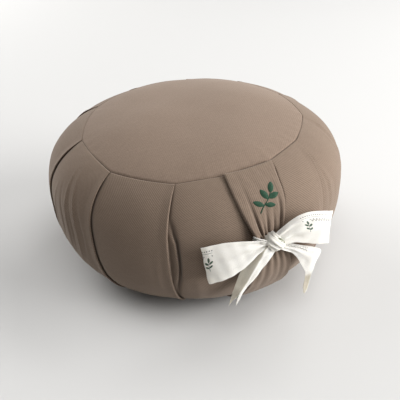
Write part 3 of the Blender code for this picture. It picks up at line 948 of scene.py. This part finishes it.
def ribbon_strip(parts, table, start, notch=0.0, waves=2.5, phase=0.0,
                 reverse=(0.0, 0.0), reverse_from=None):
    """One length of the ribbon through a table's sections.

    A section goes from a through m to b: on a parabola where the fold is 0,
    on two straight lines where it is 1.  A cosine of some waves creases it.
    A notch cuts the last end into a swallow's tail.  reverse says how much
    of the unprinted side, its colour darkened with painted shade, shows on
    the halves next to a and to b.
    """
    steps = (len(table) - 1) * RIBBON_STEPS + 1
    last = len(table) - 1
    places = np.linspace(0, last, steps)
    across = np.linspace(0, 1, RIBBON_COLUMNS + 1)
    grid_place = np.repeat(places[:, None], len(across), axis=1)
    if notch:
        near = smooth_step(grid_place, last - 1.6, last)
        grid_place = grid_place - near * notch * (1 - np.abs(2 * across - 1))
    rows = smooth_rows(table, grid_place.ravel()).reshape(
        *grid_place.shape, 11)
    edge_a = ribbon_place(rows[..., 0:3])
    centre = ribbon_place(rows[..., 3:6])
    edge_b = ribbon_place(rows[..., 6:9])
    share = across[None, :, None]
    bowed = (edge_a * (1 - share) * (1 - 2 * share)
             + centre * 4 * share * (1 - share)
             + edge_b * share * (2 * share - 1))
    folded = np.where(share < 0.5,
                      edge_a + (centre - edge_a) * 2 * share,
                      centre + (edge_b - centre) * (2 * share - 1))
    fold = np.clip(rows[..., 10:11], 0, 1)
    middle = bowed * (1 - fold) + folded * fold
    along = np.gradient(middle, axis=0)
    normal = np.cross(along, np.gradient(middle, axis=1))
    normal /= np.linalg.norm(normal, axis=-1, keepdims=True)
    wave = rows[..., 9] * np.cos(2 * math.pi * (waves * across + phase))
    crumple = 0.00035 * unevenness(middle, 0.016, 41 + int(start * 100))
    middle = middle + normal * (wave * MM + crumple)[..., None]
    front = middle + normal * RIBBON_THICKNESS / 2
    back = middle - normal * RIBBON_THICKNESS / 2
    length = lengths_along(middle, 0)
    uv = np.stack([start + length,
                   np.broadcast_to(across * RIBBON_WIDTH, length.shape)],
                  axis=-1)
    shown = np.where(across < 0.49, reverse[0], reverse[1])
    shown = np.broadcast_to(shown, length.shape)
    if reverse_from is not None:
        shown = smooth_step(grid_place, reverse_from, reverse_from + 0.8)
    add_strip(parts, front, back, uv, shade=-shown)


def ribbon_knot(parts, start):
    """The knot: a few turns of ribbon arched over its middle, side by side.

    Along a turn the ribbon rises as a cosine; across it bows out a little.
    """
    cos, sin = math.cos(KNOT_TILT), math.sin(KNOT_TILT)
    lengthwise = np.linspace(-1, 1, 41)[:, None]
    across = np.linspace(-1, 1, 17)[None, :]
    for index, row in enumerate(KNOT_TURNS):
        start_across, end_across, half, length, arch, crease = row
        lean = (lengthwise + 1) / 2
        middle = start_across * (1 - lean) + end_across * lean
        swell = 0.72 + 0.28 * np.cos(lengthwise * math.pi / 2)
        side = middle + half * across * swell
        run = length * np.sin(lengthwise * math.pi / 2)
        rise = (np.cos(lengthwise * math.pi / 2) ** 0.7 * arch
                - 1.7 * across ** 2 - 0.022 * middle ** 2)
        rise = rise + crease * np.cos(across * 5.2 + lengthwise * 1.2 + index)
        points = np.stack([KNOT_MIDDLE[0] + run * cos - side * sin,
                           KNOT_BASE + rise,
                           KNOT_MIDDLE[1] + run * sin + side * cos], axis=-1)
        outer = ribbon_place(points)
        points[..., 1] -= 1.1
        inner = ribbon_place(points)
        uv = np.stack(np.broadcast_arrays(
            start + 0.03 * index + length * MM * lengthwise,
            0.5 * RIBBON_WIDTH + half * MM * across), axis=-1)
        if index % 2:
            uv = uv + np.array([0.0, 0.1])
        # the knot's turns take a 0.3 share of the reverse's beige, which carries painted
        # shade
        add_strip(parts, outer, inner, uv, shade=np.full(rise.shape, -0.30))


def ribbon_bow(material):
    """The ribbon: wrap, two loops, two free ends and the knot's turns.

    They are closed shells that run into each other at the knot.
    """
    parts = MeshParts()
    ribbon_strip(parts, WRAP, 0.30, waves=3.5)
    ribbon_strip(parts, LEFT_LOOP, SPRIG_START - 0.068)
    ribbon_strip(parts, RIGHT_LOOP, SPRIG_START - 0.038)
    ribbon_strip(parts, LEFT_TAIL, SPRIG_START + 0.038, notch=1.1,
                 reverse=(0.9, 0.0))
    ribbon_strip(parts, RIGHT_TAIL, SPRIG_START - 0.004, reverse_from=6.6)
    ribbon_knot(parts, SPRIG_START + 0.050)
    return parts.build("tied_ribbon", material, sharp=45)


# ---- the stitched sprig ---------------------------------------------------
SPRIG_MIDDLE = (-0.5, 153.5)         # along the girth and height, mm
SPRIG_RISE = 0.9                     # mm the stitches stand at their middle
# Its leaves in mm from the middle: where each starts, which way it points in
# degrees, its length and half its width.
STITCHED_LEAVES = [
    # right, up, turn, length, half
    (6.4, 7.6, 60, 12.0, 3.4),
    (1.2, 1.4, 108, 13.0, 3.5),
    (2.2, 2.4, 10, 13.0, 3.4),
    (-5.8, -4.6, 142, 12.5, 3.3),
    (-4.0, -3.6, -22, 11.5, 3.1),
]
# The stem in mm: points it runs through.
STITCHED_STEM = [(-12.0, -12.5), (-8.6, -7.6), (-4.6, -3.6), (0.4, 0.6),
                 (4.0, 4.4), (6.8, 8.4)]
STEM_HALF = 0.7
SPRIG_SLOPE = 0.62       # rise in height for each mm up the sloping side


def sprig_surface(right, up, lift):
    """Points on the strap at a place of the sprig in mm, lifted in mm."""
    rows = np.array(STRAP_SECTIONS)
    fine = np.linspace(0, len(rows) - 1, 400)
    smooth = smooth_rows(STRAP_SECTIONS, fine)
    order = np.argsort(smooth[:, 0])
    height = SPRIG_MIDDLE[1] + up * SPRIG_SLOPE
    place = np.interp(height, smooth[order, 0], fine[order])
    middle = np.interp(height, smooth[order, 0], smooth[order, 1])
    half = np.interp(height, smooth[order, 0], smooth[order, 2])
    across = (SPRIG_MIDDLE[0] + right - middle) / half
    return strap_surface(across, place, lift * MM)


def stitched_patch(parts, right, up, lift, uv):
    """One padded patch of satin stitch: its domed face and a flat back."""
    front = sprig_surface(right, up, lift)
    back = sprig_surface(right, up, np.full_like(lift, -0.5))
    if not turned_out(front, np.zeros(3)):
        front, back = front[:, ::-1], back[:, ::-1]
    add_strip(parts, front, back, uv)


def stitched_sprig(material):
    """A sprig in raised satin stitch: five leaves on a slender stem.

    A leaf's half width is a sine of its length to the power 0.7, and its
    face a dome of 1 minus across squared, ribbed by single stitches.
    """
    parts = MeshParts()
    along = np.linspace(0, 1, 49)[:, None]
    across = np.linspace(-1, 1, 13)[None, :]
    for right, up, turn, length, half in STITCHED_LEAVES:
        wide = half * np.sin(math.pi * (0.02 + 0.96 * along)) ** 0.7
        x, y = length * along, wide * across
        turn = math.radians(turn)
        lift = SPRIG_RISE * (1 - across ** 2) * (wide / half) + 0.15
        lift = lift + 0.05 * np.sin(2 * math.pi * x / 0.55 + 2.2 * across)
        uv = np.stack(np.broadcast_arrays(x * MM, y * MM), axis=-1)
        stitched_patch(parts, right + x * math.cos(turn) - y * math.sin(turn),
                       up + x * math.sin(turn) + y * math.cos(turn), lift, uv)
    stem = smooth_rows(STITCHED_STEM,
                       np.linspace(0, len(STITCHED_STEM) - 1, 61))
    heading = np.gradient(stem, axis=0)
    heading /= np.linalg.norm(heading, axis=1, keepdims=True)
    wide = STEM_HALF * (1 - 0.4 * np.linspace(0, 1, 61)[:, None])
    x = stem[:, :1] - heading[:, 1:] * wide * across
    y = stem[:, 1:] + heading[:, :1] * wide * across
    lift = 0.5 * (1 - across ** 2) + 0.2
    uv = np.stack(np.broadcast_arrays(
        np.linspace(0, 0.024, 61)[:, None], wide * across * MM), axis=-1)
    stitched_patch(parts, x, y, lift, uv)
    return parts.build("stitched_sprig", material, sharp=60)


# ---- materials ------------------------------------------------------------
class Nodes:
    """A new material and short ways to add and join its nodes."""

    def __init__(self, name):
        self.material = bpy.data.materials.new(name)
        self.material.use_nodes = True
        self.tree = self.material.node_tree
        self.shader = self.tree.nodes["Principled BSDF"]

    def add(self, kind, **settings):
        """A node of that kind, with its properties set."""
        node = self.tree.nodes.new(kind)
        for key, value in settings.items():
            setattr(node, key, value)
        return node

    def join(self, source, target):
        """A link from an output socket to an input socket."""
        self.tree.links.new(source, target)

    def math(self, operation, first, second=None, third=None):
        """A math node's result; inputs are sockets or numbers."""
        node = self.add("ShaderNodeMath", operation=operation)
        for index, value in enumerate((first, second, third)):
            if value is None:
                continue
            if isinstance(value, (int, float)):
                node.inputs[index].default_value = value
            else:
                self.join(value, node.inputs[index])
        return node.outputs[0]

    def mix(self, share, first, second):
        """A colour between two; the share and either may be a socket."""
        node = self.add("ShaderNodeMix", data_type="RGBA")
        for socket, value in ((node.inputs[0], share),
                              (node.inputs[6], first),
                              (node.inputs[7], second)):
            if isinstance(value, (int, float)):
                socket.default_value = value
            elif isinstance(value, tuple):
                socket.default_value = (*value, 1.0)
            else:
                self.join(value, socket)
        return node.outputs[2]


    def noise(self, vector, scale, detail=2.0, roughness=0.5):
        """A noise texture's node over a vector socket."""
        node = self.add("ShaderNodeTexNoise")
        node.inputs["Scale"].default_value = scale
        node.inputs["Detail"].default_value = detail
        node.inputs["Roughness"].default_value = roughness
        self.join(vector, node.inputs["Vector"])
        return node

    def finish(self, colour, relief, strength, depth, **values):
        """Colour, shader values and a bump of some metres' depth."""
        self.join(colour, self.shader.inputs["Base Color"])
        for key, value in values.items():
            self.shader.inputs[key.replace("_", " ")].default_value = value
        bump = self.add("ShaderNodeBump")
        bump.inputs["Strength"].default_value = strength
        bump.inputs["Distance"].default_value = depth
        self.join(relief, bump.inputs["Height"])
        self.join(bump.outputs[0], self.shader.inputs["Normal"])
        return self.material


TWILL_PITCH = 0.0020     # metres between two ribs of the weave


def twill_cloth(name, colour, ribbed=0.40):
    """Matt cotton twill: diagonal ribs, fine threads, a little mottling.

    The ribs follow the piece's own texture places; by the piece's shade values
    folds get painted shade in their depths and a painted highlight on their edges.
    """
    n = Nodes(name)
    uv = n.add("ShaderNodeUVMap", uv_map="UVMap")
    places = uv.outputs[0]
    wobble = n.noise(places, 90.0)
    shift = n.add("ShaderNodeVectorMath", operation="MULTIPLY_ADD")
    n.join(wobble.outputs["Color"], shift.inputs[0])
    shift.inputs[1].default_value = (0.0015, 0.0015, 0.0)
    n.join(places, shift.inputs[2])
    ribs = n.add("ShaderNodeTexWave", wave_type="BANDS",
                 bands_direction="DIAGONAL", wave_profile="SIN")
    ribs.inputs["Scale"].default_value = (2 * math.pi
                                          / (10 * TWILL_PITCH * math.sqrt(2)))
    ribs.inputs["Distortion"].default_value = 0.0
    n.join(shift.outputs[0], ribs.inputs["Vector"])
    grain = n.noise(places, 470.0, 4.0, 0.7)
    mottle = n.noise(places, 26.0, 4.0)
    stretch = n.add("ShaderNodeMapping")
    stretch.inputs["Scale"].default_value = (75.0, 640.0, 1.0)
    n.join(places, stretch.inputs["Vector"])
    slub = n.noise(stretch.outputs[0], 1.0)
    pale = tuple(min(1.0, c * 1.58) for c in colour)
    dark = tuple(c * 0.42 for c in colour)
    weave = n.math("MULTIPLY_ADD", ribs.outputs["Fac"], ribbed,
                   n.math("MULTIPLY_ADD", slub.outputs["Fac"], 0.20,
                          n.math("MULTIPLY", grain.outputs["Fac"],
                                 0.80 - ribbed)))
    base = n.mix(weave, dark, pale)
    cloudy = n.math("MULTIPLY_ADD", mottle.outputs["Fac"], 0.5, -0.13)
    base = n.mix(cloudy, base, tuple(c * 0.88 for c in colour))
    shade = n.add("ShaderNodeAttribute", attribute_name="shade")
    # painted shade: where the shade value is below 0, in fold depths and strap gathers,
    # the colour darkens towards 0.35 of itself
    deep = n.math("MULTIPLY", n.math("MAXIMUM", n.math(
        "MULTIPLY", shade.outputs["Fac"], -1.0), 0.0), 0.55)
    base = n.mix(deep, base, tuple(c * 0.35 for c in colour))
    # painted highlight: where the shade value is above 0.6, on the lips of the pleats, the
    # colour pales towards 1.5 times itself
    painted_edge_highlight = n.math("MULTIPLY", n.math(
        "MAXIMUM", n.math("SUBTRACT", shade.outputs["Fac"], 0.6), 0.0), 0.55)
    base = n.mix(painted_edge_highlight, base, tuple(min(1, c * 1.5) for c in colour))
    return n.finish(base, weave, 0.55, 0.0003, Roughness=0.95,
                    Specular_IOR_Level=0.15, Sheen_Weight=0.15,
                    Sheen_Roughness=0.5, Sheen_Tint=(1.0, 0.90, 0.80, 1.0))


# A printed sprig in mm, on the ribbon's own length and width: each leaf's
# middle, its turn in degrees, and half its length and width.
SPRIG_LEAVES = [
    # along, across, turn, long, wide
    (0.0, 5.4, 90, 2.7, 1.25),
    (-2.5, 2.4, 145, 2.4, 1.15),
    (2.5, 1.8, 35, 2.4, 1.15),
    (-2.1, -1.8, 150, 2.1, 1.05),
    (2.1, -2.4, 30, 2.1, 1.05),
]
SPRIG_PITCH = 0.110      # metres from one printed sprig to the next
SPRIG_START = 0.033      # metres along to the first one
# The printed border: metres across from the ribbon's middle, half the width
# of the line, and the pitch of what repeats along it.
DOTS_PLACE, DOTS_HALF, DOTS_PITCH = 0.0150, 0.00065, 0.0026
RULE_PLACE, RULE_HALF = 0.0125, 0.00022
ZIGZAG_PLACE, ZIGZAG_HALF, ZIGZAG_PITCH = 0.0066, 0.00075, 0.0044
RIBBON_FACE = ((0.73, 0.69, 0.61), (0.81, 0.78, 0.705))
RIBBON_CLOUD = (0.70, 0.645, 0.555)
# the reverse: unprinted beige, darker than the face by painted shade
RIBBON_REVERSE_SHADED = ((0.48, 0.43, 0.335), (0.56, 0.505, 0.40))
PRINT_GREY = (0.08, 0.085, 0.08)
PRINT_GREEN = (0.012, 0.050, 0.026)


def ribbon_cloth(name):
    """Ivory cotton ribbon with a plain reverse.

    Its face is printed with small sprigs, each followed by a stretch of grey
    zigzag, a thin rule and a dotted rule; a shade value below 0 marks the
    reverse, unprinted and beige, its colour darkened with painted shade.
    """
    n = Nodes(name)
    uv = n.add("ShaderNodeUVMap", uv_map="UVMap")
    split = n.add("ShaderNodeSeparateXYZ")
    n.join(uv.outputs[0], split.inputs[0])
    length, breadth = split.outputs[0], split.outputs[1]

    def repeat(pitch, first):
        turns = n.math("DIVIDE", n.math("SUBTRACT", length,
                                        first - pitch / 2), pitch)
        return n.math("MULTIPLY", n.math(
            "SUBTRACT", n.math("FRACT", turns), 0.5), pitch)

    def strip(value, middle, half):
        return n.math("LESS_THAN", n.math("ABSOLUTE", n.math(
            "SUBTRACT", value, middle)), half)

    along = repeat(SPRIG_PITCH, SPRIG_START)
    across = n.math("SUBTRACT", RIBBON_WIDTH / 2, breadth)
    tile = n.add("ShaderNodeCombineXYZ")
    n.join(along, tile.inputs[0])
    n.join(across, tile.inputs[1])
    ink = None
    for x, y, turn, long, wide in SPRIG_LEAVES:
        leaf = n.add("ShaderNodeMapping", vector_type="TEXTURE")
        leaf.inputs["Location"].default_value = (x * MM, y * MM, 0)
        leaf.inputs["Rotation"].default_value = (0, 0, math.radians(turn))
        leaf.inputs["Scale"].default_value = (long * MM, wide * MM, 1)
        n.join(tile.outputs[0], leaf.inputs["Vector"])
        size = n.add("ShaderNodeVectorMath", operation="LENGTH")
        n.join(leaf.outputs[0], size.inputs[0])
        mask = n.math("LESS_THAN", size.outputs["Value"], 1.0)
        ink = mask if ink is None else n.math("MAXIMUM", ink, mask)
    stem = n.math("MULTIPLY", strip(along, 0.0, 0.0003),
                  strip(across, -0.0012, 0.0054))
    ink = n.math("MAXIMUM", ink, stem)
    dots = n.math("LESS_THAN", n.math("ABSOLUTE",
                                         repeat(DOTS_PITCH, 0.0)), 0.0007)
    dotted = n.math("MULTIPLY", dots, strip(across, DOTS_PLACE, DOTS_HALF))
    rule = strip(across, RULE_PLACE, RULE_HALF)
    zigzag = n.math("MULTIPLY_ADD", n.math("ABSOLUTE",
                                           repeat(ZIGZAG_PITCH, 0.0)),
                    1.5, ZIGZAG_PLACE)
    zigzag = n.math("MULTIPLY", n.math("LESS_THAN", n.math("ABSOLUTE", n.math(
        "SUBTRACT", across, zigzag)), ZIGZAG_HALF),
        n.math("GREATER_THAN", n.math("ABSOLUTE", along), 0.0040))
    grey = n.math("MAXIMUM", n.math("MAXIMUM", dotted, rule), zigzag)
    grey = n.math("MULTIPLY", grey, strip(along, 0.0165, 0.0215))
    grain = n.noise(uv.outputs[0], 900.0)
    cloud = n.noise(uv.outputs[0], 60.0, 3.0)
    warp = n.add("ShaderNodeTexWave", wave_type="BANDS", bands_direction="Y")
    warp.inputs["Scale"].default_value = 2 * math.pi / (10 * 0.0009)
    n.join(uv.outputs[0], warp.inputs["Vector"])
    weave = n.math("MULTIPLY_ADD", warp.outputs["Fac"], 0.4,
                   n.math("MULTIPLY", grain.outputs["Fac"], 0.6))
    base = n.mix(weave, *RIBBON_FACE)
    base = n.mix(n.math("MULTIPLY", cloud.outputs["Fac"], 0.25), base,
                 RIBBON_CLOUD)
    base = n.mix(n.math("MULTIPLY", grey, 0.85), base, PRINT_GREY)
    base = n.mix(n.math("MULTIPLY", ink, 0.95), base, PRINT_GREEN)
    shade = n.add("ShaderNodeAttribute", attribute_name="shade")
    shaded_reverse_share = n.math("MULTIPLY", shade.outputs["Fac"], -1.0)
    plain = n.mix(weave, *RIBBON_REVERSE_SHADED)
    base = n.mix(shaded_reverse_share, base, plain)
    return n.finish(base, weave, 0.4, 0.0002, Roughness=0.9,
                    Specular_IOR_Level=0.15, Sheen_Weight=0.05,
                    Subsurface_Weight=0.6, Subsurface_Scale=0.006,
                    Subsurface_Radius=(1.0, 0.95, 0.85))


def stitch_thread(name):
    """Green satin-stitch thread: fine ribs across each leaf, a soft shine."""
    n = Nodes(name)
    uv = n.add("ShaderNodeUVMap", uv_map="UVMap")
    ribs = n.add("ShaderNodeTexWave", wave_type="BANDS", bands_direction="X")
    ribs.inputs["Scale"].default_value = 2 * math.pi / (10 * 0.0011)
    ribs.inputs["Distortion"].default_value = 0.6
    ribs.inputs["Detail"].default_value = 2.0
    n.join(uv.outputs[0], ribs.inputs["Vector"])
    grain = n.noise(uv.outputs[0], 700.0)
    thread = n.math("MULTIPLY_ADD", ribs.outputs["Fac"], 0.65,
                    n.math("MULTIPLY", grain.outputs["Fac"], 0.35))
    base = n.mix(thread, (0.005, 0.022, 0.011), (0.022, 0.074, 0.040))
    return n.finish(base, thread, 0.6, 0.0003, Roughness=0.75,
                    Specular_IOR_Level=0.2, Sheen_Weight=0.05)


def floor_finish():
    """Plain pale floor."""
    n = Nodes("pale_floor")
    n.shader.inputs["Base Color"].default_value = (0.56, 0.555, 0.545, 1.0)
    n.shader.inputs["Roughness"].default_value = 0.9
    n.shader.inputs["Specular IOR Level"].default_value = 0.1
    return n.material


# ---- surroundings ---------------------------------------------------------
def add_floor():
    """A wide pale floor under the cushion, on the frame's lowest plane."""
    half = 6.0
    corners = [(-half, -half), (half, -half), (half, half), (-half, half)]
    mesh = bpy.data.meshes.new("floor")
    mesh.from_pydata([(x, y, CAD_LOW.z - 0.0003) for x, y in corners],
                     [], [(0, 1, 2, 3)])
    mesh.materials.append(floor_finish())
    floor = bpy.data.objects.new("floor", mesh)
    bpy.context.scene.collection.objects.link(floor)


def add_light(name, azimuth, elevation, distance, size, power):
    """A square soft light that looks at the cushion."""
    data = bpy.data.lights.new(name, "AREA")
    data.shape = "SQUARE"
    data.size = size
    data.energy = power
    light = bpy.data.objects.new(name, data)
    bpy.context.scene.collection.objects.link(light)
    azimuth, elevation = math.radians(azimuth), math.radians(elevation)
    flat = distance * math.cos(elevation)
    light.location = (flat * math.sin(azimuth), -flat * math.cos(azimuth),
                      0.08 + distance * math.sin(elevation))
    light.rotation_euler = (math.pi / 2 - elevation, 0.0, azimuth)


# Soft square lights: azimuth and elevation in degrees, distance and size in
# metres, power in watts.
LIGHTS = [
    ("window", 49, 18, 2.6, 1.8, 121),
    ("back_window", -165, 18, 2.6, 1.8, 60),
    ("far_left", -135, 42, 2.6, 1.8, 14),
    ("right_above", 105, 42, 2.6, 1.8, 38),
    ("front_above", -15, 66, 2.6, 1.8, 33),
]


def add_lights():
    """Soft light from the right and behind, and a faint surround."""
    for row in LIGHTS:
        add_light(*row)
    world = bpy.data.worlds.new("studio")
    world.use_nodes = True
    surround = world.node_tree.nodes["Background"]
    surround.inputs["Color"].default_value = (1.0, 0.985, 0.965, 1.0)
    surround.inputs["Strength"].default_value = 0.01
    bpy.context.scene.world = world
    bpy.context.scene.view_settings.view_transform = "Standard"


# ---- the whole ------------------------------------------------------------
# One cotton in two tones: the band's colour a little darker and the panels' colour a
# little lighter, painted shade on the side and painted light on the top for how the light
# falls.
BAND_CLOTH = (0.168, 0.123, 0.092)
PANEL_CLOTH_PAINTED_LIGHTER = (0.188, 0.137, 0.103)

add_floor()
add_lights()

band = pleated_band(twill_cloth("band_twill", BAND_CLOTH))
top = round_panel("top_round", twill_cloth("top_twill", PANEL_CLOTH_PAINTED_LIGHTER, 0.16),
                  True, 31)
bottom = round_panel("bottom_round",
                     twill_cloth("bottom_twill", PANEL_CLOTH_PAINTED_LIGHTER, 0.16),
                     False, 37)
strap = carry_strap(twill_cloth("strap_twill", BAND_CLOTH))
bow = ribbon_bow(ribbon_cloth("ribbon_cotton"))
sprig = stitched_sprig(stitch_thread("green_thread"))

for piece, node, slot in ((band, "cushion_body", "band_cloth"),
                          (top, "top_panel", "panel_cloth"),
                          (bottom, "bottom_panel", "panel_cloth"),
                          (strap, "carry_strap", "strap_cloth"),
                          (bow, "ribbon_bow", "ribbon_cloth")):
    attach(piece, "root")
    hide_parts(node)

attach(sprig, "root")
